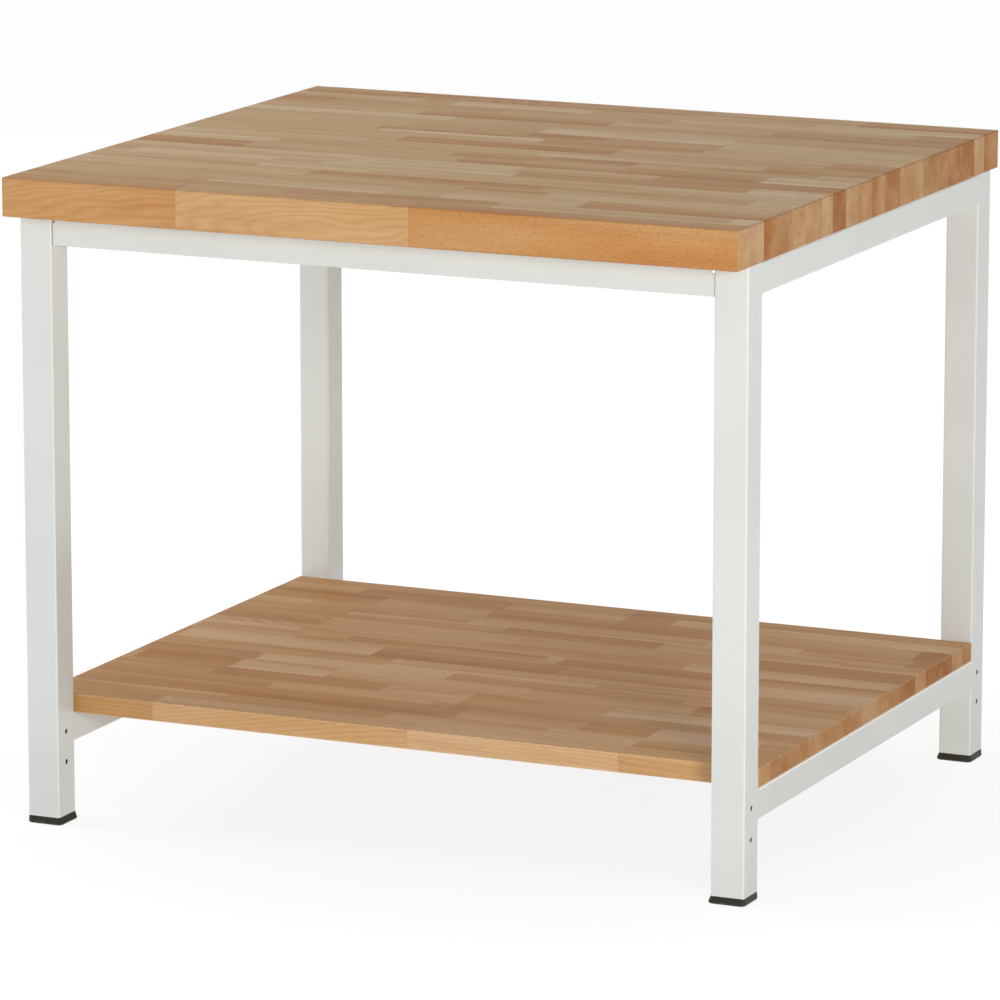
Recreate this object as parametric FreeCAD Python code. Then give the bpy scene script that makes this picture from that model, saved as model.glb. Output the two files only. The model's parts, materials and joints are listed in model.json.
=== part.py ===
# Workbench: a thick beech worktop and a beech shelf on a frame of square steel tube.
# Two welded side frames are bolted together by a folded sheet apron at the front and at the rear.
# Millimetres. X runs along the width, +Y to the rear, +Z up.
# The origin is on the floor below the middle of the worktop.
import FreeCAD
import Part
import math
import os

# Worktop and shelf
TOP_WIDTH = 1000.0
TOP_DEPTH = 900.0
TOP_THICKNESS = 50.0
BENCH_HEIGHT = 845.0
TOP_EDGE_RADIUS = 1.5
SHELF_THICKNESS = 25.0
SHELF_EDGE_RADIUS = 1.0
SHELF_CLEARANCE = 0.5

# How far the worktop reaches past the frame
SIDE_OVERHANG = 2.5
FRONT_OVERHANG = 40.0
REAR_OVERHANG = 20.0

# Legs of square tube
LEG_SIZE = 45.0
LEG_WALL = 2.0
LEG_CORNER_RADIUS = 3.0

# Side rails of square tube, flush with the outer faces of the legs
RAIL_SIZE = 40.0
RAIL_WALL = 2.0
RAIL_CORNER_RADIUS = 3.0
SHELF_RAIL_BOTTOM = 100.0

# Bare holes through each leg for fittings, one pair on the leg's middle line
FITTING_HOLE_DIAMETER = 7.0
FITTING_HOLE_SPACING = 40.0

# Aprons folded from sheet
APRON_HEIGHT = 40.0
APRON_SHEET = 1.5
APRON_BEND_RADIUS = 2.0
APRON_SETBACK = 2.5
APRON_TOP_FLANGE = 35.0
APRON_BOTTOM_FLANGE = 15.0
APRON_END_FLANGE = 35.0
APRON_RELIEF_WIDTH = 4.0
APRON_RELIEF_HEIGHT = 11.0
APRON_BOLT_LINE = 20.0

# Plastic feet: a flared base under the tube and a ribbed plug inside it
FOOT_HEIGHT = 10.0
FOOT_FLARE_INNER = 3.8
FOOT_FLARE_OUTER = 1.4
FOOT_FLARE_DEPTH = 2.0
FOOT_CORNER_RADIUS = 7.5
FOOT_EDGE_RADIUS = 2.5
FOOT_EDGE_STEPS = 2
PLUG_HEIGHT = 28.0
PLUG_WALL = 2.5
PLUG_RIB_DEPTH = 2.0
PLUG_RIB_THICKNESS = 1.6
PLUG_RIB_COUNT = 3
PLUG_CLEARANCE = 0.1

# Bolts, washers and rivet nuts that hold the aprons to the legs
BOLT_DIAMETER = 6.0
BOLT_HEAD_FLATS = 10.0
BOLT_HEAD_HEIGHT = 4.0
BOLT_PAST_WALL = 10.0
BOLT_SPACING = 16.0
BOLT_CLEARANCE = 0.3
WASHER_DIAMETER = 12.0
WASHER_THICKNESS = 1.6
RIVET_NUT_DIAMETER = 9.0
RIVET_NUT_LENGTH = 14.0
RIVET_FLANGE_DIAMETER = 13.0
RIVET_FLANGE_THICKNESS = 0.3
RIVET_BULGE_DIAMETER = 12.0
RIVET_BULGE_LENGTH = 3.0
FIT_CLEARANCE = 0.05

# Wood screws from below into the worktop and the shelf
TOP_SCREW_DIAMETER = 6.0
TOP_SCREW_HEAD_DIAMETER = 12.0
TOP_SCREW_HEAD_HEIGHT = 3.5
TOP_SCREW_COVER = 18.0
SHELF_SCREW_DIAMETER = 5.0
SHELF_SCREW_HEAD_DIAMETER = 10.0
SHELF_SCREW_HEAD_HEIGHT = 3.0
SHELF_SCREW_COVER = 6.0
SCREW_POINT_LENGTH = 5.0
SCREW_HOLE_CLEARANCE = 0.5
ACCESS_HOLE_CLEARANCE = 1.0
APRON_SCREW_END_MARGIN = 60.0
APRON_SCREW_COUNT = 4
TOP_RAIL_SCREW_END_MARGIN = 125.0
TOP_RAIL_SCREW_COUNT = 2
SHELF_SCREW_END_MARGIN = 60.0
SHELF_SCREW_COUNT = 3

# Fillet welds on the hidden sides of the rail ends; a flat bead has a swell of 0.5
WELD_LEG = 3.0
WELD_SWELL = 0.6
# Welds ground flush on the outer sides stop this many degrees short of the leg's flat faces
FLUSH_WELD_TOE = 10.0

LEFT = -1
RIGHT = 1
FRONT = -1
REAR = 1
X_AXIS = FreeCAD.Vector(1, 0, 0)
Y_AXIS = FreeCAD.Vector(0, 1, 0)
Z_AXIS = FreeCAD.Vector(0, 0, 1)
ORIGIN = FreeCAD.Vector(0, 0, 0)

# Places that follow from the sizes above
FRAME_WIDTH = TOP_WIDTH - 2 * SIDE_OVERHANG
FRAME_FRONT = -TOP_DEPTH / 2 + FRONT_OVERHANG
FRAME_REAR = TOP_DEPTH / 2 - REAR_OVERHANG
FRAME_TOP = BENCH_HEIGHT - TOP_THICKNESS
LEG_FRONT_Y = FRAME_FRONT + LEG_SIZE / 2
LEG_REAR_Y = FRAME_REAR - LEG_SIZE / 2
LEG_X = (FRAME_WIDTH - LEG_SIZE) / 2
LEG_INNER_X = FRAME_WIDTH / 2 - LEG_SIZE
RAIL_X = (FRAME_WIDTH - RAIL_SIZE) / 2
RAIL_START_Y = FRAME_FRONT + LEG_SIZE
RAIL_END_Y = FRAME_REAR - LEG_SIZE
TOP_RAIL_BOTTOM = FRAME_TOP - RAIL_SIZE
SHELF_BOTTOM = SHELF_RAIL_BOTTOM + RAIL_SIZE
FITTING_HOLE_UPPER = SHELF_RAIL_BOTTOM + RAIL_SIZE / 2
FITTING_HOLE_LOWER = FITTING_HOLE_UPPER - FITTING_HOLE_SPACING
APRON_LENGTH = 2 * (LEG_INNER_X - RIVET_FLANGE_THICKNESS)
APRON_BOTTOM = FRAME_TOP - APRON_HEIGHT
APRON_END_TOP = APRON_HEIGHT - APRON_RELIEF_HEIGHT
BOLT_Z = APRON_BOTTOM + (APRON_BEND_RADIUS + APRON_END_TOP) / 2
APRON_FACE_FRONT = FRAME_FRONT + APRON_SETBACK
APRON_FACE_REAR = FRAME_REAR - APRON_SETBACK


def vector(x, y, z):
    return FreeCAD.Vector(x, y, z)


def leg_y(end):
    return LEG_FRONT_Y if end == FRONT else LEG_REAR_Y


def apron_face_y(end):
    return APRON_FACE_FRONT if end == FRONT else APRON_FACE_REAR


def apron_line_y(end):
    """The line of the bolts and screws behind an apron's face."""
    return apron_face_y(end) - end * APRON_BOLT_LINE


def spread(first, last, count):
    """Evenly spaced places from the first to the last."""
    step = (last - first) / (count - 1)
    return [first + step * index for index in range(count)]


def rod(diameter, start, direction, length):
    return Part.makeCylinder(diameter / 2, length, start, direction)


def extruded(points, direction):
    """Solid of a closed outline of straight lines, pushed along a direction."""
    wire = Part.makePolygon(points + points[:1])
    return Part.Face(wire).extrude(direction)


def turned(outline):
    """Solid turned about +Z from (radius, height) points."""
    points = [vector(radius, 0, height) for radius, height in outline]
    wire = Part.makePolygon(points + points[:1])
    return Part.Face(wire).revolve(ORIGIN, Z_AXIS, 360)


def aimed(shape, place, direction):
    """A shape made along +Z, moved to a place and turned to a direction."""
    turn = FreeCAD.Rotation(Z_AXIS, direction)
    moved = shape.copy()
    moved.Placement = FreeCAD.Placement(place, turn)
    return moved


def rounded_rectangle(size_x, size_y, radius, z=0.0, centre_x=0.0):
    """Level outline of a rectangle with rounded corners."""
    reach_x = size_x / 2 - radius
    reach_y = size_y / 2 - radius
    arcs = []
    for index, (sign_x, sign_y) in enumerate([(1, 1), (-1, 1), (-1, -1), (1, -1)]):
        centre = vector(centre_x + sign_x * reach_x, sign_y * reach_y, z)
        arcs.append(Part.makeCircle(radius, centre, Z_AXIS, 90 * index, 90 * index + 90))
    edges = []
    for arc, following in zip(arcs, arcs[1:] + arcs[:1]):
        side_start = arc.valueAt(arc.LastParameter)
        side_end = following.valueAt(following.FirstParameter)
        edges.append(arc)
        edges.append(Part.makeLine(side_start, side_end))
    return Part.Wire(edges)


def block(size_x, size_y, radius, height, z=0.0):
    """Upright block with rounded corners, centred on the Z axis."""
    return Part.Face(rounded_rectangle(size_x, size_y, radius, z)).extrude(vector(0, 0, height))


def inside_radius(radius, wall):
    """Inner corner radius of a bent wall, which keeps a small radius in a thick wall."""
    return max(radius - wall, radius / 4)


def square_tube(size, wall, radius, length):
    inner_size = size - 2 * wall
    outer = block(size, size, radius, length)
    inner = block(inner_size, inner_size, inside_radius(radius, wall), length)
    return outer.cut(inner)


def fillet_along(shape, axis, places, radius):
    """Round the straight edges that run along an axis through the given places."""
    chosen = []
    for edge in shape.Edges:
        start = edge.Vertexes[0].Point
        run = edge.Vertexes[-1].Point - start
        if run.cross(axis).Length > 1e-6:
            continue
        for place in places:
            offset = place - start
            if offset.cross(axis).Length < 1e-6:
                chosen.append(edge)
    return shape.makeFillet(radius, chosen)


def top_rail_screw_places():
    return spread(RAIL_START_Y + TOP_RAIL_SCREW_END_MARGIN, RAIL_END_Y - TOP_RAIL_SCREW_END_MARGIN,
                  TOP_RAIL_SCREW_COUNT)


def shelf_screw_places():
    return spread(RAIL_START_Y + SHELF_SCREW_END_MARGIN, RAIL_END_Y - SHELF_SCREW_END_MARGIN,
                  SHELF_SCREW_COUNT)


def apron_screw_places():
    reach = APRON_LENGTH / 2 - APRON_SCREW_END_MARGIN
    return spread(-reach, reach, APRON_SCREW_COUNT)


def apron_screw_seats():
    """Where the worktop screws' heads bear, under the aprons' top flanges."""
    seats = []
    for end in (FRONT, REAR):
        for x in apron_screw_places():
            seats.append(vector(x, apron_line_y(end), FRAME_TOP - APRON_SHEET))
    return seats


def top_rail_screw_seats():
    """Where the worktop screws' heads bear, inside the top rails under their upper walls."""
    seats = []
    for side in (LEFT, RIGHT):
        for y in top_rail_screw_places():
            seats.append(vector(side * RAIL_X, y, FRAME_TOP - RAIL_WALL))
    return seats


def shelf_screw_seats():
    """Where the shelf screws' heads bear, inside the shelf rails under their upper walls."""
    seats = []
    for side in (LEFT, RIGHT):
        for y in shelf_screw_places():
            seats.append(vector(side * RAIL_X, y, SHELF_BOTTOM - RAIL_WALL))
    return seats


def apron_bolt_places():
    """Each bolt's place on the leg's inner face, with the way that it points."""
    places = []
    for end in (FRONT, REAR):
        for side in (LEFT, RIGHT):
            for offset in (-BOLT_SPACING / 2, BOLT_SPACING / 2):
                place = vector(side * LEG_INNER_X, apron_line_y(end) + offset, BOLT_Z)
                places.append((place, vector(side, 0, 0)))
    return places


def eased_board(width, depth, thickness, radius, corner):
    board = Part.makeBox(width, depth, thickness, corner)
    return board.makeFillet(radius, board.Edges)


def worktop():
    """Solid panel with eased edges and blind holes for the screws below."""
    corner = vector(-TOP_WIDTH / 2, -TOP_DEPTH / 2, FRAME_TOP)
    board = eased_board(TOP_WIDTH, TOP_DEPTH, TOP_THICKNESS, TOP_EDGE_RADIUS, corner)
    depth = TOP_THICKNESS - TOP_SCREW_COVER
    diameter = TOP_SCREW_DIAMETER + 2 * FIT_CLEARANCE
    seats = apron_screw_seats() + top_rail_screw_seats()
    holes = [rod(diameter, vector(seat.x, seat.y, FRAME_TOP), Z_AXIS, depth) for seat in seats]
    return board.cut(holes)


def shelf():
    """Panel that lies on the shelf rails, between the front and the rear legs."""
    start = RAIL_START_Y + SHELF_CLEARANCE
    depth = RAIL_END_Y - SHELF_CLEARANCE - start
    corner = vector(-FRAME_WIDTH / 2, start, SHELF_BOTTOM)
    board = eased_board(FRAME_WIDTH, depth, SHELF_THICKNESS, SHELF_EDGE_RADIUS, corner)
    reach = SHELF_THICKNESS - SHELF_SCREW_COVER
    diameter = SHELF_SCREW_DIAMETER + 2 * FIT_CLEARANCE
    seats = shelf_screw_seats()
    holes = [rod(diameter, vector(seat.x, seat.y, SHELF_BOTTOM), Z_AXIS, reach) for seat in seats]
    return board.cut(holes)


def leg(side, end):
    """Square tube with fitting holes through it and rivet nut holes in its inner wall."""
    x = side * LEG_X
    y = leg_y(end)
    tube = square_tube(LEG_SIZE, LEG_WALL, LEG_CORNER_RADIUS, FRAME_TOP - FOOT_HEIGHT)
    tube.translate(vector(x, y, FOOT_HEIGHT))
    holes = []
    for z in (FITTING_HOLE_LOWER, FITTING_HOLE_UPPER):
        holes.append(rod(FITTING_HOLE_DIAMETER, vector(x - LEG_SIZE, y, z), X_AXIS, 2 * LEG_SIZE))
    for place, direction in apron_bolt_places():
        if direction.x == side and abs(place.y - y) < LEG_SIZE:
            start = place - direction * LEG_WALL
            holes.append(rod(RIVET_NUT_DIAMETER + 2 * FIT_CLEARANCE, start, direction, 2 * LEG_WALL))
    return tube.cut(holes)


def side_rail(side, bottom, screw_places, screw_diameter, head_diameter):
    """Square tube between two legs, with screw holes above and wider driver holes below."""
    tube = square_tube(RAIL_SIZE, RAIL_WALL, RAIL_CORNER_RADIUS, RAIL_END_Y - RAIL_START_Y)
    rail = aimed(tube, vector(side * RAIL_X, RAIL_START_Y, bottom + RAIL_SIZE / 2), Y_AXIS)
    holes = []
    for y in screw_places:
        foot = vector(side * RAIL_X, y, bottom)
        holes.append(rod(screw_diameter + 2 * SCREW_HOLE_CLEARANCE, foot, Z_AXIS, RAIL_SIZE))
        holes.append(rod(head_diameter + 2 * ACCESS_HOLE_CLEARANCE, foot, Z_AXIS, RAIL_WALL))
    return rail.cut(holes)


def top_rail(side):
    places = top_rail_screw_places()
    return side_rail(side, TOP_RAIL_BOTTOM, places, TOP_SCREW_DIAMETER, TOP_SCREW_HEAD_DIAMETER)


def shelf_rail(side):
    places = shelf_screw_places()
    return side_rail(side, SHELF_RAIL_BOTTOM, places, SHELF_SCREW_DIAMETER, SHELF_SCREW_HEAD_DIAMETER)


def apron_channel():
    """The apron's web with its top and bottom flanges, open to the rear, web face on Y = 0."""
    half = APRON_LENGTH / 2 - APRON_RELIEF_WIDTH
    sheet = APRON_SHEET
    upper = APRON_HEIGHT - sheet
    section = [
        (0, 0), (APRON_BOTTOM_FLANGE, 0), (APRON_BOTTOM_FLANGE, sheet), (sheet, sheet),
        (sheet, upper), (APRON_TOP_FLANGE, upper), (APRON_TOP_FLANGE, APRON_HEIGHT), (0, APRON_HEIGHT),
    ]
    channel = extruded([vector(-half, y, z) for y, z in section], vector(2 * half, 0, 0))
    outer_bends = [vector(0, 0, 0), vector(0, 0, APRON_HEIGHT)]
    inner_bends = [vector(0, sheet, sheet), vector(0, sheet, upper)]
    channel = fillet_along(channel, X_AXIS, outer_bends, APRON_BEND_RADIUS)
    return fillet_along(channel, X_AXIS, inner_bends, inside_radius(APRON_BEND_RADIUS, sheet))


def apron_end(side):
    """The folded end flange, cut back above so that its bend stays clear of the top flange's."""
    outer = side * APRON_LENGTH / 2
    inner = outer - side * APRON_SHEET
    root = outer - side * APRON_RELIEF_WIDTH
    section = [
        (root, 0), (outer, 0), (outer, APRON_END_FLANGE), (inner, APRON_END_FLANGE),
        (inner, APRON_SHEET), (root, APRON_SHEET),
    ]
    flange = extruded([vector(x, y, 0) for x, y in section], vector(0, 0, APRON_END_TOP))
    flange = fillet_along(flange, Z_AXIS, [vector(outer, 0, 0)], APRON_BEND_RADIUS)
    inner_bend = vector(inner, APRON_SHEET, 0)
    return fillet_along(flange, Z_AXIS, [inner_bend], inside_radius(APRON_BEND_RADIUS, APRON_SHEET))


def apron(end):
    """Folded sheet apron between two legs, with holes for its bolts and the worktop's screws."""
    sheet = apron_channel().fuse([apron_end(LEFT), apron_end(RIGHT)]).removeSplitter()
    if end == REAR:
        sheet.rotate(ORIGIN, Z_AXIS, 180)
    sheet.translate(vector(0, apron_face_y(end), APRON_BOTTOM))
    holes = []
    for place, direction in apron_bolt_places():
        if abs(place.y - apron_line_y(end)) < APRON_END_FLANGE:
            start = place - direction * LEG_SIZE
            holes.append(rod(BOLT_DIAMETER + 2 * BOLT_CLEARANCE, start, direction, LEG_SIZE))
    for x in apron_screw_places():
        start = vector(x, apron_line_y(end), FRAME_TOP - 2 * APRON_SHEET)
        holes.append(rod(TOP_SCREW_DIAMETER + 2 * SCREW_HOLE_CLEARANCE, start, Z_AXIS, 3 * APRON_SHEET))
    return sheet.cut(holes)


def foot_base(side):
    """Flared base whose lower edge is rounded, wider towards the middle of the bench."""
    wide_x = LEG_SIZE + FOOT_FLARE_INNER + FOOT_FLARE_OUTER
    wide_y = LEG_SIZE + 2 * FOOT_FLARE_DEPTH
    shift = side * (FOOT_FLARE_OUTER - FOOT_FLARE_INNER) / 2
    sections = []
    for step in range(FOOT_EDGE_STEPS + 1):
        angle = math.radians(90 * step / FOOT_EDGE_STEPS)
        inset = FOOT_EDGE_RADIUS * (1 - math.sin(angle))
        height = FOOT_EDGE_RADIUS * (1 - math.cos(angle))
        sections.append(rounded_rectangle(wide_x - 2 * inset, wide_y - 2 * inset,
                                          FOOT_CORNER_RADIUS - inset, height, shift))
    sections.append(rounded_rectangle(LEG_SIZE, LEG_SIZE, LEG_CORNER_RADIUS, FOOT_HEIGHT))
    return Part.makeLoft(sections, True, True)


def cut_corner_block(size, cut, height, z):
    """Upright square block with its corners cut off straight, centred on the Z axis."""
    half = size / 2
    near = half - cut
    outline = [(half, -near), (half, near), (near, half), (-near, half), (-half, near), (-half, -near),
               (-near, -half), (near, -half)]
    return extruded([vector(x, y, z) for x, y in outline], vector(0, 0, height))


def foot_plug():
    """Open-topped plug with thin ribs that grip the inside of the tube."""
    bore = LEG_SIZE - 2 * LEG_WALL - 2 * PLUG_CLEARANCE
    core = bore - 2 * PLUG_RIB_DEPTH
    cut = inside_radius(LEG_CORNER_RADIUS, LEG_WALL)
    plug = cut_corner_block(core, cut, PLUG_HEIGHT, FOOT_HEIGHT)
    hollow = core - 2 * PLUG_WALL
    ribs = []
    pitch = PLUG_HEIGHT / PLUG_RIB_COUNT
    for index in range(PLUG_RIB_COUNT):
        height = FOOT_HEIGHT + pitch * (index + 0.5)
        ribs.append(cut_corner_block(bore, cut, PLUG_RIB_THICKNESS, height))
    return plug.fuse(ribs).cut(cut_corner_block(hollow, cut, PLUG_HEIGHT, FOOT_HEIGHT))


def foot(side, end):
    cap = foot_base(side).fuse(foot_plug()).removeSplitter()
    cap.translate(vector(side * LEG_X, leg_y(end), 0))
    return cap


def hexagon(flats):
    corner = flats / math.sqrt(3)
    angles = [math.radians(60 * index) for index in range(6)]
    return [vector(corner * math.cos(angle), corner * math.sin(angle), 0) for angle in angles]


def bolt():
    """Hexagon bolt along +Z, whose head bears on a washer below Z = 0."""
    bearing = -RIVET_FLANGE_THICKNESS - APRON_SHEET - WASHER_THICKNESS
    head = extruded(hexagon(BOLT_HEAD_FLATS), vector(0, 0, BOLT_HEAD_HEIGHT))
    corner = BOLT_HEAD_FLATS / math.sqrt(3)
    bevel = corner - BOLT_HEAD_FLATS / 2
    envelope = turned([(0, 0), (BOLT_HEAD_FLATS / 2, 0), (corner, bevel), (corner, BOLT_HEAD_HEIGHT),
                       (0, BOLT_HEAD_HEIGHT)])
    head = head.common(envelope)
    head.translate(vector(0, 0, bearing - BOLT_HEAD_HEIGHT))
    shank = rod(BOLT_DIAMETER, vector(0, 0, bearing), Z_AXIS, BOLT_PAST_WALL - bearing)
    return head.fuse(shank)


def washer():
    bore = BOLT_DIAMETER / 2 + BOLT_CLEARANCE
    top = -RIVET_FLANGE_THICKNESS - APRON_SHEET
    bottom = top - WASHER_THICKNESS
    rim = WASHER_DIAMETER / 2
    return turned([(bore, bottom), (rim, bottom), (rim, top), (bore, top)])


def rivet_nut():
    """Set rivet nut along +Z: flange outside the wall at Z = 0, bulge and barrel inside."""
    bore = BOLT_DIAMETER / 2 + FIT_CLEARANCE
    barrel = RIVET_NUT_DIAMETER / 2
    bulge = RIVET_BULGE_DIAMETER / 2
    flange = RIVET_FLANGE_DIAMETER / 2
    bulge_end = LEG_WALL + RIVET_BULGE_LENGTH
    return turned([
        (bore, -RIVET_FLANGE_THICKNESS), (flange, -RIVET_FLANGE_THICKNESS), (flange, 0), (barrel, 0),
        (barrel, LEG_WALL), (bulge, LEG_WALL), (barrel, bulge_end), (barrel, RIVET_NUT_LENGTH),
        (bore, RIVET_NUT_LENGTH),
    ])


def wood_screw(diameter, head_diameter, head_height, length):
    """Pan-head screw along +Z with its head below Z = 0 and a plain shank with a point."""
    shank = diameter / 2
    rim = head_diameter / 2
    crown = rim - head_height / 2
    return turned([
        (0, -head_height), (crown, -head_height), (rim, -head_height / 2), (rim, 0), (shank, 0),
        (shank, length - SCREW_POINT_LENGTH), (0, length),
    ])


def upright_copies(piece, seats):
    return Part.makeCompound([aimed(piece, seat, Z_AXIS) for seat in seats])


def worktop_screws(support, seats):
    """The screws that hold the worktop through a support of one thickness."""
    length = support + TOP_THICKNESS - TOP_SCREW_COVER
    screw = wood_screw(TOP_SCREW_DIAMETER, TOP_SCREW_HEAD_DIAMETER, TOP_SCREW_HEAD_HEIGHT, length)
    return upright_copies(screw, seats)


def shelf_screws():
    length = RAIL_WALL + SHELF_THICKNESS - SHELF_SCREW_COVER
    screw = wood_screw(SHELF_SCREW_DIAMETER, SHELF_SCREW_HEAD_DIAMETER, SHELF_SCREW_HEAD_HEIGHT, length)
    return upright_copies(screw, shelf_screw_seats())


def bolted(piece):
    """One copy of a fastener at every bolt of the aprons."""
    return Part.makeCompound([aimed(piece, place, direction) for place, direction in apron_bolt_places()])


def weld_bead(corner, along_leg, along_rail, run):
    """Fillet bead in the corner between a leg's face and a rail's face, with a swelling outer face."""
    on_leg = corner + along_leg * WELD_LEG
    on_rail = corner + along_rail * WELD_LEG
    swell = corner + (along_leg + along_rail) * (WELD_SWELL * WELD_LEG)
    outline = Part.Wire([
        Part.makeLine(corner, on_leg),
        Part.Arc(on_leg, swell, on_rail).toShape(),
        Part.makeLine(on_rail, corner),
    ])
    return Part.Face(outline).extrude(run)


def flush_weld(corner, into_leg, inward, run):
    """Fill between a leg's rounded corner and a rail's end, ground flush with their outer faces."""
    radius = LEG_CORNER_RADIUS
    centre = corner + (into_leg + inward) * radius

    def on_leg(degrees):
        angle = math.radians(degrees)
        return centre - inward * (radius * math.cos(angle)) - into_leg * (radius * math.sin(angle))

    reach = radius * (1 - math.sin(math.radians(FLUSH_WELD_TOE)))
    start = on_leg(FLUSH_WELD_TOE)
    end = on_leg(90 - FLUSH_WELD_TOE)
    on_face = corner + into_leg * reach
    on_rail = corner + inward * reach
    outline = Part.Wire([
        Part.Arc(start, on_leg(45), end).toShape(),
        Part.makeLine(end, on_rail),
        Part.makeLine(on_rail, corner),
        Part.makeLine(corner, on_face),
        Part.makeLine(on_face, start),
    ])
    return Part.Face(outline).extrude(run)


def weld_seams(side):
    """Beads on the inner face and the underside of each rail end, and flush welds on its outer face."""
    flat = RAIL_SIZE - 2 * RAIL_CORNER_RADIUS
    outer_x = side * FRAME_WIDTH / 2
    inner_x = side * (FRAME_WIDTH / 2 - RAIL_SIZE)
    inward = vector(-side, 0, 0)
    down = vector(0, 0, -1)
    beads = []
    for bottom in (TOP_RAIL_BOTTOM, SHELF_RAIL_BOTTOM):
        for y, along_rail in ((RAIL_START_Y, vector(0, 1, 0)), (RAIL_END_Y, vector(0, -1, 0))):
            upright = vector(inner_x, y, bottom + RAIL_CORNER_RADIUS)
            beads.append(weld_bead(upright, inward, along_rail, vector(0, 0, flat)))
            level = vector(side * RAIL_X - flat / 2, y, bottom)
            beads.append(weld_bead(level, down, along_rail, vector(flat, 0, 0)))
            outside = vector(outer_x, y, bottom + RAIL_CORNER_RADIUS)
            beads.append(flush_weld(outside, along_rail * -1, inward, vector(0, 0, flat)))
    return Part.makeCompound(beads)


def nodes():
    """Every piece of the bench by its name."""
    pieces = {"worktop": worktop(), "shelf": shelf()}
    for side, side_name in ((LEFT, "left"), (RIGHT, "right")):
        for end, end_name in ((FRONT, "front"), (REAR, "rear")):
            pieces[f"leg_{end_name}_{side_name}"] = leg(side, end)
            pieces[f"foot_{end_name}_{side_name}"] = foot(side, end)
        pieces[f"top_rail_{side_name}"] = top_rail(side)
        pieces[f"shelf_rail_{side_name}"] = shelf_rail(side)
        pieces[f"weld_seams_{side_name}"] = weld_seams(side)
    pieces["apron_front"] = apron(FRONT)
    pieces["apron_rear"] = apron(REAR)
    pieces["rivet_nuts"] = bolted(rivet_nut())
    pieces["apron_bolts"] = bolted(bolt())
    pieces["apron_washers"] = bolted(washer())
    pieces["apron_screws"] = worktop_screws(APRON_SHEET, apron_screw_seats())
    pieces["top_rail_screws"] = worktop_screws(RAIL_WALL, top_rail_screw_seats())
    pieces["shelf_screws"] = shelf_screws()
    return pieces


os.makedirs("parts", exist_ok=True)
for name, shape in nodes().items():
    shape.exportStep(f"parts/{name}.step")
    print(name, len(shape.Solids), "solids", shape.isValid(), round(shape.Volume))
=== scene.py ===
# Looks of the workbench: oiled beech, light grey powder coat, black plastic and zinc plated steel.
# Metres. X runs along the width, +Y to the rear, +Z up. Finishes have display colours of 0 to 255.
import json
import math
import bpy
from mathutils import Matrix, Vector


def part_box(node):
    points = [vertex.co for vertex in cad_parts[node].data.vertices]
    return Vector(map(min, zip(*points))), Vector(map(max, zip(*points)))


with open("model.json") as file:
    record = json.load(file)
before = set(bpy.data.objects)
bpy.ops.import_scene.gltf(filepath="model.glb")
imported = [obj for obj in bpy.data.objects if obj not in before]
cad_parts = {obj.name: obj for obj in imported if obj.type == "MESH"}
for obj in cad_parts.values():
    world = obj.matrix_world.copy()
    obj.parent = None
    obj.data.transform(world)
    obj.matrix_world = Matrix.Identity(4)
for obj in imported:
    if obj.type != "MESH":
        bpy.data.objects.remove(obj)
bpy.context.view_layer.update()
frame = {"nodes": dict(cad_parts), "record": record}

from types import SimpleNamespace

import bpy
from mathutils import Vector

# Camera: a long lens that looks down on the front right corner
CAMERA_AZIMUTH = math.radians(24.47)
CAMERA_ELEVATION = math.radians(11.78)
CAMERA_DISTANCE = 8.284
CAMERA_AIM = Vector((-0.017, 0.0, 0.3875))
CAMERA_LENS = 229.0

# Floor: two level planes that glow, less so near the bench. On the one that the camera sees, the dimmer
# glow is a painted shadow.
FLOOR_REACH = 60.0
FLOOR_COLOUR = (0.12, 0.12, 0.12, 1.0)
FLOOR_ROUGHNESS = 0.8
FLOOR_GLOW = 0.95
FLOOR_GLOW_PAINTED_SHADOW = 0.86
BOUNCE_GLOW_NEAR = 0.58
BOUNCE_DEPTH = 0.001
FLOOR_NEAR_REACH = 0.35
FLOOR_FAR_REACH = 1.2

# Backdrop and light
WHITE = (1.0, 1.0, 1.0, 1.0)
BLACK = (0.0, 0.0, 0.0, 1.0)
BACKDROP_RADIUS = 50.0
BACKDROP_HEIGHT = 40.0
BACKDROP_SIDES = 48
BACKDROP_GLOW = 0.98
WORLD_COLOUR = (0.97, 0.99, 1.01, 1.0)
WORLD_GLOW = 0.22
LIGHT_AIM = Vector((0.0, 0.0, 0.4))

# Soft lights: place, width and height, power in watts, whether shiny faces show them, and colour
SOFTBOXES = {
    "key": ((3.6, -4.2, 1.5), (1.6, 1.6), 165.0, False, (1.0, 0.985, 0.955)),
    "front_fill": ((-2.2, -5.0, 2.2), (3.0, 2.5), 38.0, False, (0.90, 0.99, 1.13)),
    "left_fill": ((-4.5, -0.5, 2.2), (2.5, 2.0), 160.0, False, (1.0, 1.0, 1.0)),
    "overhead": ((0.0, 0.0, 4.2), (4.0, 4.0), 38.0, True, (1.0, 1.0, 1.0)),
    "rear_panel": ((-2.3, 5.0, 1.9), (5.0, 1.8), 19.0, True, (1.0, 0.965, 0.89)),
}

# Slack for rounding at a face, and the part of its range that most of a noise lies in
FACE_SLACK = 0.0005
NOISE_SPAN = (0.3, 0.7)

# Staves of beech. A span is where a mark comes in, from none to full. The spans of the seams are
# shares of a lamella's width and of a stave's length.
LAMELLA_WIDTH = 0.045
LAMELLA_SWAY = 0.12
LAMELLA_SWAY_RATE = 2.1
STAVE_LENGTH = 0.27
STAVE_LENGTH_SPREAD = 0.85
STAVE_SHIFT = 100.0
STAVE_STREW = (40.0, 40.0, 40.0)
SIDE_SEAM_SPAN = (0.012, 0.003)
BUTT_SEAM_SPAN = (0.0022, 0.0005)
ARRIS_SPAN = (0.0022, 0.0004)
END_SPAN = (0.0012, 0.0004)

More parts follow.
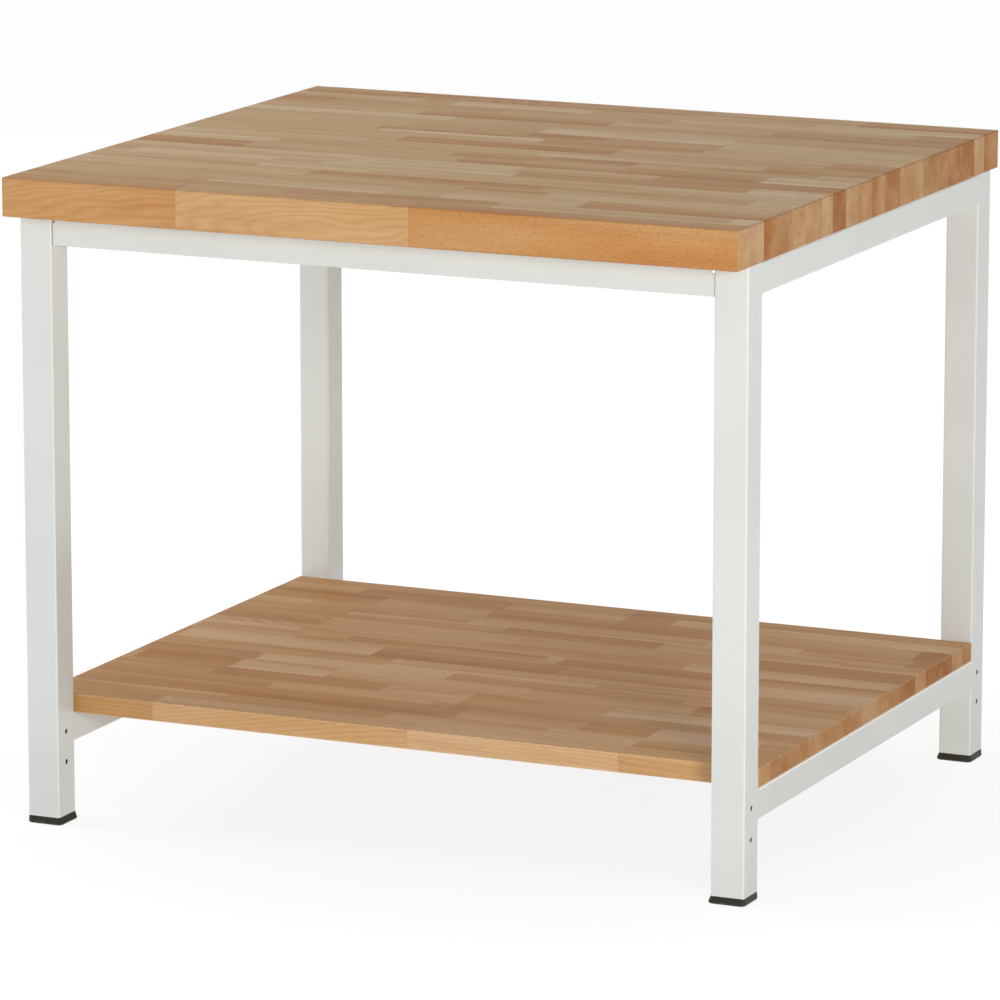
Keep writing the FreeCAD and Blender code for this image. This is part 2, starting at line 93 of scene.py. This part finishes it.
# Growth rings: how far the pith is from its stave, its slopes along it, and the rings' width and wander.
# A ring goes from 0 in its early wood to 0.5 in its late wood and back.
PITH_NEAR = 0.03
PITH_SPREAD = 0.09
PITH_RISE = 0.22
PITH_DIVE = 0.10
RING_WIDTH = 0.0022
RING_WIDTH_SPREAD = 0.0032
RING_WANDER = 0.011
RING_WANDER_SCALE = (5.0, 25.0, 25.0)
RING_TOP = 0.5
LATE_WOOD_SPAN = (0.22, RING_TOP)
EARLY_WOOD_SPAN = (0.22, 0.0)
FRONT_RING_WIDTH = 0.0050

# How plainly a stave shows its rings, from 0 to 1
FIGURE_SPAN = (0.15, 0.75)
FIGURE_LEAST = 0.25
FRONT_FIGURE_MOST = 0.85

# Where a stave is on its board's scale of tones
TONE_LEAST = 0.09
TONE_SPREAD = 0.74
TONE_DRIFT = 0.6
FRONT_END_TONE = 0.25

# Marks of the grain: the scale of their noise along X, Y and Z, their greatest share and their colour
STREAK_SCALE = (2.2, 55.0, 55.0)
STREAK_SPAN = (0.45, 0.85)
STREAK_SHARE = 0.45
STREAK_COLOUR = (156, 92, 44)
LINE_SCALE = (1.1, 120.0, 120.0)
LINE_SPAN = (0.60, 0.72)
LINE_SHARE = 0.35
LINE_COLOUR = (148, 80, 38)
DRIFT_SCALE = (3.0, 18.0, 18.0)
FIBRE_SCALE = (14.0, 620.0, 620.0)
FIBRE_SPAN = (0.25, 0.75)
FIBRE_SHARE = 0.12
FIBRE_COLOUR = (206, 168, 112)
FLECK_SCALE = (160.0, 800.0, 800.0)
FLECK_SPAN = (0.53, 0.66)
FLECK_SHARE_FIGURED = 0.10
FLECK_COLOUR = (126, 68, 30)
LATE_WOOD_SHARE = 0.20
LATE_WOOD_COLOUR = (146, 78, 40)
EARLY_WOOD_SHARE = 0.12
EARLY_WOOD_SHARE_END = 0.42
EARLY_WOOD_COLOUR = (228, 200, 156)
SEAM_SHARE = 0.22
SEAM_COLOUR = (112, 68, 38)

# Soft clouds, which make the early wood patchy, and the ends of the boards: darker, with pale blotches
CLOUD_SCALE = 30.0
CLOUD_LEAST = 0.35
BLOTCH_SPAN = (0.35, 0.75)
BLOTCH_SHARE = 0.24
BLOTCH_COLOUR = (216, 180, 138)
END_DARK_SPAN = (0.45, 1.0)
END_DARK_SHARES = (0.44, 0.62)
END_DARK_COLOUR = (138, 73, 33)
FRONT_END_DARK = 0.32

# Gloss and relief of the beech
WOOD_GLOSS_SPAN = (0.2, 0.8)
WOOD_ROUGHNESS = (0.40, 0.52)
END_ROUGHNESS = 0.75
WOOD_SPECULAR = 0.5
END_SPECULAR = 0.2
FIBRE_HEIGHT = 0.00015
FIBRE_STRENGTH = 0.4
FLECK_DEPTH = 0.6
FINISH_IOR = 1.5

# The two boards: tones from pale to dark, share of the flecks on plain staves, and the arrises.
# The staves of the front lamella are listed one by one: where they meet, their tones from left to right,
# and how their rings show.
BOARDS = {
    "worktop": {
        "seed": 5.0,
        "tones": [(0.0, (212, 185, 147)), (0.30, (200, 165, 115)), (0.65, (190, 146, 93)),
                  (0.88, (180, 122, 57)), (1.0, (168, 101, 32))],
        "flecks": 0.36,
        "arris_share": 0.22,
        "arris_colour": (120, 74, 42),
        "front_seed": 12.0,
        "front_joints": (-0.255, 0.065),
        "front_tones": (0.78, 0.66, 0.83),
        "front_ring_wander": 0.034,
        "front_figure_least": 0.21,
    },
    "shelf": {
        "seed": 11.0,
        "tones": [(0.0, (207, 170, 130)), (0.30, (194, 150, 97)), (0.60, (181, 131, 66)),
                  (0.84, (171, 112, 40)), (1.0, (157, 93, 20))],
        "flecks": 0.22,
        "arris_share": 0.35,
        # The shelf's pale arris colour is a painted highlight along its edges
        "arris_colour": (222, 186, 140),
        "front_seed": 6.0,
        "front_joints": (-0.34, 0.02, 0.31),
        "front_tones": (0.55, 0.27, 0.14, 0.38),
        "front_ring_wander": 0.008,
        "front_figure_least": 0.75,
    },
}

# Powder coat
COAT_CLOUD_SCALE = 7.0
COAT_TONES = [(0.3, (203, 205, 201)), (0.7, (208, 210, 206))]
COAT_GLOSS_SCALE = 60.0
COAT_ROUGHNESS = (0.20, 0.26)
PEEL_SCALE = 520.0
PEEL_HEIGHT = 0.00003
PEEL_STRENGTH = 0.3

# Coated tubes: the depth below their outer faces where bare steel starts, and the depth and colour of
# the painted highlight along their rounded corners
BARE_STEEL_DEPTH = 0.0007
BARE_STEEL_COLOUR = (62, 60, 57)
BARE_STEEL_ROUGHNESS = 0.6
TUBE_CORNER_HIGHLIGHTS = {
    "leg_": (0.0009, (226, 228, 224)),
    "top_rail_": (0.0009, (252, 252, 249)),
    "shelf_rail_": (0.0018, (252, 252, 249)),
}

# Moulded plastic of the feet
PLASTIC_COLOUR = (40, 40, 31)
PLASTIC_GRAIN_SCALE = 1400.0
PLASTIC_ROUGHNESS = (0.42, 0.58)
PLASTIC_GRAIN_HEIGHT = 0.00008
PLASTIC_GRAIN_STRENGTH = 0.5
SCUFF_HEIGHT = 0.006
SCUFF_SCALE = 130.0
SCUFF_SPAN = (0.5, 0.7)
SCUFF_SHARE = 0.6
SCUFF_COLOUR = (98, 97, 88)

# Zinc plate of the fasteners
ZINC_MOTTLE_SCALE = 350.0
ZINC_TONES = [(0.3, (176, 179, 182)), (0.7, (205, 206, 203))]
ZINC_ROUGHNESS = (0.26, 0.42)
ZINC_GRIT_SCALE = 2500.0
ZINC_GRIT_HEIGHT = 0.00003
ZINC_GRIT_STRENGTH = 0.4


def srgb(colour):
    """Linear colour, with alpha, of a display colour of 0 to 255."""
    linear = []
    for value in colour:
        share = value / 255
        linear.append(share / 12.92 if share <= 0.04045 else ((share + 0.055) / 1.055) ** 2.4)
    return (*linear, 1.0)


class Shader:
    """Node tree of one material, with short calls for the nodes that the finishes use."""

    def __init__(self, name):
        self.material = bpy.data.materials.new(name)
        self.material.use_nodes = True
        self.tree = self.material.node_tree
        self.surface = self.tree.nodes["Principled BSDF"]

    def put(self, socket, value):
        """Link a socket, or set it to a plain value."""
        if isinstance(value, bpy.types.NodeSocket):
            self.tree.links.new(value, socket)
        else:
            socket.default_value = value

    def add(self, kind, settings=None, **inputs):
        """New node of a kind. The inputs have the names of its sockets, with _ for a space."""
        node = self.tree.nodes.new("ShaderNode" + kind)
        for name, value in (settings or {}).items():
            setattr(node, name, value)
        for name, value in inputs.items():
            self.put(node.inputs[name.replace("_", " ")], value)
        return node

    def finish(self, **inputs):
        """Set the surface's sockets and give the material."""
        for name, value in inputs.items():
            self.put(self.surface.inputs[name.replace("_", " ")], value)
        return self.material

    def math(self, operation, *values):
        node = self.add("Math", {"operation": operation})
        for socket, value in zip(node.inputs, values):
            self.put(socket, value)
        return node.outputs[0]

    def vector_math(self, operation, *vectors):
        node = self.add("VectorMath", {"operation": operation})
        for socket, vector in zip(node.inputs, vectors):
            self.put(socket, vector)
        return node.outputs[0]

    def place(self):
        """The point's place in the object's own frame, which is the bench's."""
        return self.add("TexCoord").outputs["Object"]

    def split(self, vector):
        return self.add("SeparateXYZ", Vector=vector).outputs[:]

    def join(self, x, y, z):
        return self.add("CombineXYZ", X=x, Y=y, Z=z).outputs[0]

    def depth(self, axis, near, far):
        """Depth below the nearer of two opposite faces."""
        from_middle = self.math("ABSOLUTE", self.math("SUBTRACT", axis, (near + far) / 2))
        return self.math("SUBTRACT", (far - near) / 2, from_middle)

    def noise(self, vector, scale, detail=2.0, roughness=0.5):
        node = self.add("TexNoise", Vector=vector, Scale=scale, Detail=detail, Roughness=roughness)
        return node.outputs["Fac"]

    def grain(self, place, scale, shift=(0.0, 0.0, 0.0), detail=2.0, roughness=0.5):
        """Noise with a scale of its own along each axis."""
        return self.noise(self.vector_math("MULTIPLY_ADD", place, scale, shift), 1.0, detail, roughness)

    def random(self, vector, number):
        """Random numbers that stay the same for one vector and number: a value and a colour."""
        node = self.add("TexWhiteNoise", {"noise_dimensions": "4D"}, Vector=vector, W=number)
        return node.outputs["Value"], node.outputs["Color"]

    def redraw(self, chance, times):
        """Another random number, from one that was drawn: the fraction of a multiple of it."""
        return self.math("FRACT", self.math("MULTIPLY", chance, times))

    def lengths(self, along, feature):
        """Uneven lengths along a lamella, each a cell with its own colour and ends."""
        settings = {"voronoi_dimensions": "1D", "feature": feature}
        return self.add("TexVoronoi", settings, W=along, Scale=1.0, Randomness=STAVE_LENGTH_SPREAD)

    def span(self, value, low, high, to_low=0.0, to_high=1.0):
        """Smooth step from one pair of values to another."""
        node = self.add("MapRange", {"interpolation_type": "SMOOTHSTEP"}, Value=value, From_Min=low,
                        From_Max=high, To_Min=to_low, To_Max=to_high)
        return node.outputs[0]

    def ramp(self, value, stops):
        """Colour of a value on a scale of display colours."""
        node = self.add("ValToRGB", Fac=value)
        elements = node.color_ramp.elements
        while len(elements) < len(stops):
            elements.new(0.5)
        for element, (position, colour) in zip(elements, stops):
            element.position = position
            element.color = srgb(colour)
        return node.outputs["Color"]

    def mix(self, share, first, second):
        """Mixed colour or vector: the first where the share is 0, the second where it is 1."""
        node = self.add("Mix", {"data_type": "RGBA"})
        self.put(node.inputs[0], share)
        self.put(node.inputs[6], first)
        self.put(node.inputs[7], second)
        return node.outputs[2]

    def choose(self, share, first, second):
        """Mixed number: the first where the share is 0, the second where it is 1."""
        node = self.add("Mix", {"data_type": "FLOAT"})
        self.put(node.inputs[0], share)
        self.put(node.inputs[2], first)
        self.put(node.inputs[3], second)
        return node.outputs[0]

    def bump(self, height, distance, strength):
        return self.add("Bump", Height=height, Distance=distance, Strength=strength).outputs[0]


def arris(shader, axes, low, high):
    """1 on the edges of a board and 0 away from them, by the second least depth below its faces."""
    first, second, third = [shader.depth(axis, near, far) for axis, near, far in zip(axes, low, high)]
    lesser = shader.math("MINIMUM", first, second)
    greater = shader.math("MAXIMUM", first, second)
    between = shader.math("MAXIMUM", lesser, shader.math("MINIMUM", greater, third))
    return shader.span(between, *ARRIS_SPAN)


def front_staves(shader, x, look):
    """The front lamella's stave at x: its number, its tone, and how far its nearer joint is."""
    tones = look["front_tones"]
    number = 0.0
    tone = tones[0]
    to_butt = 1.0
    for joint, tone_before, tone_after in zip(look["front_joints"], tones, tones[1:]):
        beyond = shader.math("GREATER_THAN", x, joint)
        number = shader.math("ADD", number, beyond)
        tone = shader.math("MULTIPLY_ADD", beyond, tone_after - tone_before, tone)
        gap = shader.math("ABSOLUTE", shader.math("SUBTRACT", x, joint))
        to_butt = shader.math("MINIMUM", to_butt, shader.math("DIVIDE", gap, STAVE_LENGTH))
    return number, tone, to_butt


def staves(shader, place, low, look):
    """The stave that a point is in: where in it, its random numbers, and the glue lines round it.

    Lamellas differ in width, and the first starts at the front face.
    """
    x, y = shader.split(place)[:2]
    seed = look["seed"]
    even = shader.math("DIVIDE", shader.math("SUBTRACT", y, low.y - FACE_SLACK), LAMELLA_WIDTH)
    sway = shader.math("SINE", shader.math("MULTIPLY_ADD", even, LAMELLA_SWAY_RATE, seed))
    sway = shader.math("SUBTRACT", sway, math.sin(seed))
    across = shader.math("MULTIPLY_ADD", sway, LAMELLA_SWAY, even)
    lamella = shader.math("FLOOR", across)
    within = shader.math("SUBTRACT", shader.math("FRACT", across), 0.5)
    behind_front = shader.math("MINIMUM", lamella, 1.0)

    shift = shader.random((seed, 0.0, 0.0), lamella)[0]
    along = shader.math("MULTIPLY_ADD", x, 1 / STAVE_LENGTH, shader.math("MULTIPLY", shift, STAVE_SHIFT))
    own = shader.lengths(along, "F1")
    own_local = shader.math("MULTIPLY", shader.math("SUBTRACT", along, own.outputs["W"]), STAVE_LENGTH)
    own_to_butt = shader.lengths(along, "DISTANCE_TO_EDGE").outputs["Distance"]
    front_number, front_tone, front_to_butt = front_staves(shader, x, look)
    front_cell = shader.join(front_number, look["front_seed"], 0.5)
    cell = shader.mix(behind_front, front_cell, own.outputs["Color"])

    chance, chances = shader.random(cell, lamella)
    tone, turn, reach = shader.split(chances)
    to_side = shader.math("SUBTRACT", 0.5, shader.math("ABSOLUTE", within))
    to_butt = shader.choose(behind_front, front_to_butt, own_to_butt)
    side_seam = shader.span(to_side, *SIDE_SEAM_SPAN)
    butt_seam = shader.span(to_butt, *BUTT_SEAM_SPAN)
    return SimpleNamespace(
        behind_front=behind_front,
        front_tone=front_tone,
        within=within,
        local=shader.choose(behind_front, x, own_local),
        chance=chance,
        tone=tone,
        turn=turn,
        reach=reach,
        strewn=shader.vector_math("MULTIPLY", chances, STAVE_STREW),
        seam=shader.math("MAXIMUM", side_seam, butt_seam),
    )


def growth_rings(shader, place, stave, middle_height, look):
    """Masks of late and early wood, in rings about a pith outside the stave.

    The pith slopes along the stave, which arches the figure.
    """
    z = shader.split(place)[2]
    angle = shader.math("MULTIPLY", stave.turn, 2 * math.pi)
    far = shader.math("MULTIPLY_ADD", stave.reach, PITH_SPREAD, PITH_NEAR)
    skew = shader.math("MULTIPLY_ADD", stave.chance, 2.0, -1.0)
    rise = shader.math("MULTIPLY", shader.math("POWER", skew, 3.0), PITH_RISE)
    dive = shader.math("MULTIPLY_ADD", shader.redraw(stave.chance, times=9.0), 2 * PITH_DIVE, -PITH_DIVE)
    middle = shader.math("MULTIPLY", stave.within, LAMELLA_WIDTH)
    pith_y = shader.math("MULTIPLY", shader.math("COSINE", angle), far)
    pith_z = shader.math("MULTIPLY_ADD", shader.math("SINE", angle), far, middle_height)
    from_y = shader.math("SUBTRACT", middle, shader.math("MULTIPLY_ADD", stave.local, dive, pith_y))
    from_z = shader.math("SUBTRACT", z, shader.math("MULTIPLY_ADD", stave.local, rise, pith_z))
    square = shader.math("MULTIPLY_ADD", from_y, from_y, shader.math("MULTIPLY", from_z, from_z))
    radius = shader.math("SQRT", square)

    width_chance = shader.redraw(stave.turn, times=11.0)
    own_width = shader.math("MULTIPLY_ADD", width_chance, RING_WIDTH_SPREAD, RING_WIDTH)
    width = shader.choose(stave.behind_front, FRONT_RING_WIDTH, own_width)
    wander_reach = shader.choose(stave.behind_front, look["front_ring_wander"], RING_WANDER)
    wander = shader.grain(place, RING_WANDER_SCALE, stave.strewn)
    count = shader.math("DIVIDE", shader.math("MULTIPLY_ADD", wander, wander_reach, radius), width)
    ring = shader.math("PINGPONG", count, RING_TOP)
    return shader.span(ring, *LATE_WOOD_SPAN), shader.span(ring, *EARLY_WOOD_SPAN)


def stave_figure(shader, stave, look):
    """How plainly the stave shows its rings."""
    chance = shader.redraw(stave.reach, times=7.0)
    front = shader.span(chance, *FIGURE_SPAN, look["front_figure_least"], FRONT_FIGURE_MOST)
    own = shader.span(chance, *FIGURE_SPAN, FIGURE_LEAST, 1.0)
    return shader.choose(stave.behind_front, front, own)


def stave_tone(shader, place, stave, end_grain):
    """Place on the board's scale of tones: staves darken to one side and drift along the grain."""
    lean = shader.math("SUBTRACT", shader.redraw(stave.reach, times=13.0), 0.5)
    own = shader.math("MULTIPLY_ADD", stave.tone, TONE_SPREAD, TONE_LEAST)
    own = shader.math("MULTIPLY_ADD", lean, stave.within, own)
    front = shader.choose(end_grain, stave.front_tone, FRONT_END_TONE)
    tone = shader.choose(stave.behind_front, front, own)
    drift = shader.math("SUBTRACT", shader.grain(place, DRIFT_SCALE, stave.strewn), 0.5)
    return shader.math("MULTIPLY_ADD", drift, TONE_DRIFT, tone)


def end_darkness(shader, stave, end_grain):
    """Share of the dark colour on the ends of the boards, which differs from stave to stave."""
    own = shader.span(shader.redraw(stave.chance, times=5.0), *END_DARK_SPAN, *END_DARK_SHARES)
    return shader.math("MULTIPLY", end_grain, shader.choose(stave.behind_front, FRONT_END_DARK, own))


def early_wood_share(shader, stave, figure, end_grain, cloud):
    """Share of the pale early wood: patchy, and plainer on the ends of the boards."""
    end_figure = shader.choose(stave.behind_front, 1.0, shader.math("MULTIPLY", figure, figure))
    on_face = shader.math("MULTIPLY", figure, EARLY_WOOD_SHARE)
    on_end = shader.math("MULTIPLY", end_figure, EARLY_WOOD_SHARE_END)
    patchy = shader.span(cloud, *NOISE_SPAN, CLOUD_LEAST, 1.0)
    return shader.math("MULTIPLY", shader.choose(end_grain, on_face, on_end), patchy)


def beech(board, look):
    """Glued-up beech: lamellas along X, of staves that each have their own tone, rings and streaks."""
    low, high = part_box(board)
    shader = Shader(board + "_beech")
    place = shader.place()
    axes = shader.split(place)
    stave = staves(shader, place, low, look)
    figure = stave_figure(shader, stave, look)
    late_wood, early_wood = growth_rings(shader, place, stave, (low.z + high.z) / 2, look)
    end_grain = shader.span(shader.depth(axes[0], low.x, high.x), *END_SPAN)

    # Broad streaks, thin lines, fine fibres and short ray flecks along the grain, and soft clouds
    streak = shader.grain(place, STREAK_SCALE, stave.strewn, detail=3.0, roughness=0.6)
    line = shader.span(shader.grain(place, LINE_SCALE, stave.strewn), *LINE_SPAN)
    fibre = shader.grain(place, FIBRE_SCALE, detail=3.0)
    fleck = shader.span(shader.grain(place, FLECK_SCALE, detail=1.0), *FLECK_SPAN)
    cloud = shader.noise(shader.vector_math("ADD", place, stave.strewn), CLOUD_SCALE)

    # Marks over the stave's own tone, each with its share and colour
    early_share = early_wood_share(shader, stave, figure, end_grain, cloud)
    late_share = shader.math("MULTIPLY", figure, LATE_WOOD_SHARE)
    blotch = shader.span(cloud, *BLOTCH_SPAN, 0.0, BLOTCH_SHARE)
    fleck_share = shader.span(figure, FIGURE_LEAST, 1.0, look["flecks"], FLECK_SHARE_FIGURED)
    edge = arris(shader, axes, low, high)
    marks = [
        (shader.span(streak, *STREAK_SPAN, 0.0, STREAK_SHARE), STREAK_COLOUR),
        (shader.math("MULTIPLY", line, LINE_SHARE), LINE_COLOUR),
        (end_darkness(shader, stave, end_grain), END_DARK_COLOUR),
        (shader.math("MULTIPLY", end_grain, blotch), BLOTCH_COLOUR),
        (shader.math("MULTIPLY", late_wood, late_share), LATE_WOOD_COLOUR),
        (shader.math("MULTIPLY", early_wood, early_share), EARLY_WOOD_COLOUR),
        (shader.math("MULTIPLY", fleck, fleck_share), FLECK_COLOUR),
        (shader.span(fibre, *FIBRE_SPAN, 0.0, FIBRE_SHARE), FIBRE_COLOUR),
        (shader.math("MULTIPLY", stave.seam, SEAM_SHARE), SEAM_COLOUR),
        # Colour along the arrises; on the shelf it is a painted highlight
        (shader.math("MULTIPLY", edge, look["arris_share"]), look["arris_colour"]),
    ]
    colour = shader.ramp(stave_tone(shader, place, stave, end_grain), look["tones"])
    for share, mark_colour in marks:
        colour = shader.mix(share, colour, srgb(mark_colour))

    face_roughness = shader.span(streak, *WOOD_GLOSS_SPAN, *WOOD_ROUGHNESS)
    roughness = shader.choose(end_grain, face_roughness, END_ROUGHNESS)
    specular = shader.choose(end_grain, WOOD_SPECULAR, END_SPECULAR)
    height = shader.math("MULTIPLY_ADD", fleck, -FLECK_DEPTH, fibre)
    normal = shader.bump(height, FIBRE_HEIGHT, FIBRE_STRENGTH)
    return shader.finish(Base_Color=colour, Roughness=roughness, Specular_IOR_Level=specular,
                         Normal=normal, IOR=FINISH_IOR)


def tube_faces(shader, place, tube, highlight_depth):
    """Two masks of a straight tube: 1 inside it, and 1 along its rounded corners, for a painted
    highlight.

    A level tube has only its upper corners in the second one, where light falls from above.
    """
    low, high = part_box(tube)
    across_most = max(high - low) - FACE_SLACK
    axes = shader.split(place)
    depths = []
    for axis, near, far in zip(axes, low, high):
        if far - near < across_most:
            depths.append(shader.depth(axis, near, far))
    inside = shader.span(shader.math("MINIMUM", *depths), BARE_STEEL_DEPTH, 2 * BARE_STEEL_DEPTH)
    # Painted highlight along the rounded corners
    corner_highlight = shader.span(shader.math("MAXIMUM", *depths), 2 * highlight_depth, highlight_depth)
    # On a level tube the painted highlight is only on the upper corners, where light falls from above
    if high.z - low.z < across_most:
        upper = shader.math("GREATER_THAN", axes[2], (low.z + high.z) / 2)
        corner_highlight = shader.math("MULTIPLY", corner_highlight, upper)
    return inside, corner_highlight


def powder_coat(name, tube=None, highlight_depth=None, highlight_colour=None):
    """Smooth light grey powder coat with a faint orange peel.

    A tube has a painted highlight along its rounded corners, and dark bare steel inside.
    """
    shader = Shader(name)
    place = shader.place()
    colour = shader.ramp(shader.noise(place, COAT_CLOUD_SCALE), COAT_TONES)
    gloss = shader.noise(place, COAT_GLOSS_SCALE, detail=3.0)
    roughness = shader.span(gloss, *NOISE_SPAN, *COAT_ROUGHNESS)
    normal = shader.bump(shader.noise(place, PEEL_SCALE, detail=1.0), PEEL_HEIGHT, PEEL_STRENGTH)
    if tube:
        inside, corner_highlight = tube_faces(shader, place, tube, highlight_depth)
        # The paler colour along the corners is a painted highlight
        colour = shader.mix(corner_highlight, colour, srgb(highlight_colour))
        colour = shader.mix(inside, colour, srgb(BARE_STEEL_COLOUR))
        roughness = shader.choose(inside, roughness, BARE_STEEL_ROUGHNESS)
    return shader.finish(Base_Color=colour, Roughness=roughness, Normal=normal, IOR=FINISH_IOR)


def moulded_plastic(name):
    """Black moulded plastic with a fine grain, scuffed grey towards the floor."""
    shader = Shader(name)
    place = shader.place()
    low_down = shader.span(shader.split(place)[2], SCUFF_HEIGHT, 0.0)
    patch = shader.span(shader.noise(place, SCUFF_SCALE, detail=4.0), *SCUFF_SPAN)
    scuff = shader.math("MULTIPLY", shader.math("MULTIPLY", low_down, patch), SCUFF_SHARE)
    colour = shader.mix(scuff, srgb(PLASTIC_COLOUR), srgb(SCUFF_COLOUR))
    grain = shader.noise(place, PLASTIC_GRAIN_SCALE)
    roughness = shader.span(grain, *NOISE_SPAN, *PLASTIC_ROUGHNESS)
    normal = shader.bump(grain, PLASTIC_GRAIN_HEIGHT, PLASTIC_GRAIN_STRENGTH)
    return shader.finish(Base_Color=colour, Roughness=roughness, Normal=normal)


def zinc_plate(name):
    """Bright zinc plate with a faint crystal mottle."""
    shader = Shader(name)
    place = shader.place()
    mottle = shader.noise(place, ZINC_MOTTLE_SCALE, detail=3.0, roughness=0.6)
    colour = shader.ramp(mottle, ZINC_TONES)
    roughness = shader.span(mottle, *NOISE_SPAN, *ZINC_ROUGHNESS)
    grit = shader.noise(place, ZINC_GRIT_SCALE, detail=1.0)
    normal = shader.bump(grit, ZINC_GRIT_HEIGHT, ZINC_GRIT_STRENGTH)
    return shader.finish(Base_Color=colour, Roughness=roughness, Normal=normal, Metallic=1.0)


def finish_of(node, slot, shared):
    """The material of a node: its own on a board or a coated tube, or else its slot's shared one."""
    if node in BOARDS:
        return beech(node, BOARDS[node])
    if slot == "powder_coat":
        # A tube's own coat gets the depth and colour of its painted corner highlight
        for family, corners in TUBE_CORNER_HIGHLIGHTS.items():
            if node.startswith(family):
                return powder_coat("coated_" + node, node, *corners)
    return shared[slot]


def dress(frame):
    """Give every node its finish."""
    shared = {
        "powder_coat": powder_coat("light_grey_powder_coat"),
        "foot_plastic": moulded_plastic("black_plastic"),
        "zinc_steel": zinc_plate("zinc_plate"),
    }
    for subpart in frame["record"]["subparts"]:
        node = subpart["node"]
        slots = frame["nodes"][node].data.materials
        slots.clear()
        slots.append(finish_of(node, subpart["material_slot"], shared))


def floor_plane(name, height, glow_near):
    """Pale level plane that glows, less so under the bench.

    On the floor that the camera sees, the dimmer glow is a painted shadow.
    """
    mesh = bpy.data.meshes.new(name)
    sides = [(-1, -1), (1, -1), (1, 1), (-1, 1)]
    corners = [(FLOOR_REACH * across, FLOOR_REACH * along, height) for across, along in sides]
    mesh.from_pydata(corners, [], [(0, 1, 2, 3)])
    shader = Shader("pale_" + name)
    x, y = shader.split(shader.place())[:2]
    from_bench = shader.math("SQRT", shader.math("MULTIPLY_ADD", x, x, shader.math("MULTIPLY", y, y)))
    # The glow dims near the bench: on the floor that the camera sees, this is a painted shadow
    glow = shader.span(from_bench, FLOOR_NEAR_REACH, FLOOR_FAR_REACH, glow_near, FLOOR_GLOW)
    material = shader.finish(Base_Color=FLOOR_COLOUR, Roughness=FLOOR_ROUGHNESS, Specular_IOR_Level=0.0,
                             Emission_Color=WHITE, Emission_Strength=glow)
    mesh.materials.append(material)
    plane = bpy.data.objects.new(name, mesh)
    bpy.context.scene.collection.objects.link(plane)
    return plane


def floor():
    """The floor that the camera sees, with a painted shadow under the bench, and just below it the
    dimmer one that lights the bench.
    """
    shown = floor_plane("floor", 0.0, FLOOR_GLOW_PAINTED_SHADOW)
    shown.visible_diffuse = False
    shown.visible_shadow = False
    bounce = floor_plane("floor_bounce", -BOUNCE_DEPTH, BOUNCE_GLOW_NEAR)
    bounce.visible_camera = False
    bounce.visible_glossy = False


def backdrop():
    """Pale wall round the far rim of the floor, which lights nothing."""
    mesh = bpy.data.meshes.new("backdrop")
    corners = []
    faces = []
    for index in range(BACKDROP_SIDES):
        turn = 2 * math.pi * index / BACKDROP_SIDES
        foot = (BACKDROP_RADIUS * math.cos(turn), BACKDROP_RADIUS * math.sin(turn))
        corners += [(*foot, 0.0), (*foot, BACKDROP_HEIGHT)]
        start = 2 * index
        following = 2 * ((index + 1) % BACKDROP_SIDES)
        faces.append((start, following, following + 1, start + 1))
    mesh.from_pydata(corners, [], faces)
    shader = Shader("pale_backdrop")
    material = shader.finish(Base_Color=BLACK, Specular_IOR_Level=0.0, Emission_Color=WHITE,
                             Emission_Strength=BACKDROP_GLOW)
    mesh.materials.append(material)
    wall = bpy.data.objects.new("backdrop", mesh)
    wall.visible_diffuse = False
    wall.visible_glossy = False
    wall.visible_shadow = False
    bpy.context.scene.collection.objects.link(wall)


def softbox(name, place, size, power, glare, colour):
    """Rectangular soft light that the camera doesn't see, and that shiny faces show only with glare."""
    data = bpy.data.lights.new(name, "AREA")
    data.shape = "RECTANGLE"
    data.size, data.size_y = size
    data.energy = power
    data.color = colour
    light = bpy.data.objects.new(name, data)
    light.location = place
    light.rotation_euler = (LIGHT_AIM - Vector(place)).to_track_quat("-Z", "Y").to_euler()
    light.visible_camera = False
    light.visible_glossy = glare
    bpy.context.scene.collection.objects.link(light)


def lights():
    """A dim even sky and the soft lights."""
    world = bpy.data.worlds.new("studio")
    world.use_nodes = True
    background = world.node_tree.nodes["Background"]
    background.inputs["Color"].default_value = WORLD_COLOUR
    background.inputs["Strength"].default_value = WORLD_GLOW
    bpy.context.scene.world = world
    for name, settings in SOFTBOXES.items():
        softbox(name, *settings)


def camera():
    """Camera on a line from its aim, given by its azimuth, elevation and distance."""
    data = bpy.data.cameras.new("camera")
    data.lens = CAMERA_LENS
    data.clip_end = 2 * FLOOR_REACH
    viewer = bpy.data.objects.new("camera", data)
    level = math.cos(CAMERA_ELEVATION)
    back = Vector((math.sin(CAMERA_AZIMUTH) * level, -math.cos(CAMERA_AZIMUTH) * level,
                   math.sin(CAMERA_ELEVATION)))
    viewer.location = CAMERA_AIM + back * CAMERA_DISTANCE
    viewer.rotation_euler = (-back).to_track_quat("-Z", "Y").to_euler()
    bpy.context.scene.collection.objects.link(viewer)
    bpy.context.scene.camera = viewer


dress(frame)
floor()
backdrop()
lights()
camera()
bpy.context.scene.view_settings.view_transform = "Standard"
